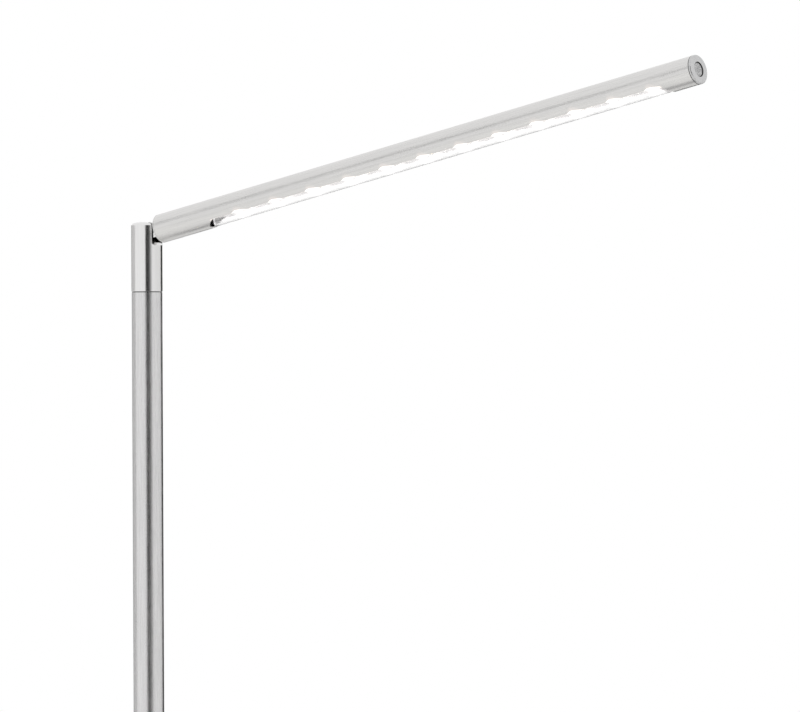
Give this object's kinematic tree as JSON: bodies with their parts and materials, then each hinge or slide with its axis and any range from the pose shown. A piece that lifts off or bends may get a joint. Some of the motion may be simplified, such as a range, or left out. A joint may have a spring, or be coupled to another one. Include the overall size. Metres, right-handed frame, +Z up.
{
  "type": "office floor lamp",
  "caption": "Slim floor reading lamp: round weighted base, steel post, swivel head and a tilting tube arm with a row of LEDs behind a long window and a push button in its tip.",
  "frame": {"origin": "middle of the base's underside, on the floor", "axes": "+Z up along the post, +X along the arm's level direction at rest, +Y across the arm"},
  "size_m": [0.6657, 0.25, 1.3426],
  "materials": {
    "brushed_steel": "fine vertical brushing",
    "satin_steel": "smooth satin, near polished",
    "satin_aluminium": "light satin anodised",
    "sink_aluminium": "as extruded",
    "zinc_steel": "zinc plated",
    "cast_iron": "black primer",
    "felt": "dense felt",
    "black_rubber": "matt",
    "lead_sheath": "smooth sheath",
    "dark_bearing": "moulded acetal",
    "white_board": "white solder mask",
    "led_phosphor": "lit phosphor",
    "white_reflector": "bright moulded white",
    "clear_lens": "clear polished acrylic",
    "button_grey": "satin"
  },
  "bodies": {
    "stand": {"base_pad": "felt", "base_plate": "cast_iron", "base_cover": "brushed_steel", "base_washer": "zinc_steel", "base_bolt": "zinc_steel", "foot_plug": "zinc_steel", "post_tube": "brushed_steel", "cable_inlet": "black_rubber", "post_lead": "lead_sheath", "swivel_bush": "dark_bearing"},
    "head": {"swivel_head": "satin_steel", "hinge_pin": "zinc_steel", "friction_washers": "dark_bearing", "spring_washer": "zinc_steel", "swivel_nut": "zinc_steel", "head_lead": "lead_sheath"},
    "arm": {"arm_knuckle": "satin_aluminium", "arm_tube": "satin_aluminium", "tube_grub_screw": "zinc_steel", "heat_sink": "sink_aluminium", "led_board": "white_board", "leds": "led_phosphor", "reflector": "white_reflector", "lens": "clear_lens", "driver_board": "white_board", "arm_lead": "lead_sheath", "end_cap": "satin_aluminium", "switch_carrier": "dark_bearing", "push_switch": "dark_bearing"},
    "button": {"push_button": "button_grey"}
  },
  "joints": [
    {"name": "swivel", "type": "hinge", "parent": "stand", "child": "head", "pos_m": [0, 0, 1.1621], "axis": [0, 0, 1], "range_deg": [-165, 165]},
    {"name": "arm_tilt", "type": "hinge", "parent": "head", "child": "arm", "pos_m": [0, 0, 1.21], "axis": [0, -1, 0], "range_deg": [-17.5, 72]},
    {"name": "button_press", "type": "slide", "parent": "arm", "child": "button", "axis": [-0.9755, 0, -0.2198], "range_m": [0, 0.0008], "stiffness_N_per_m": 1500, "springref_m": -0.001}
  ]
}
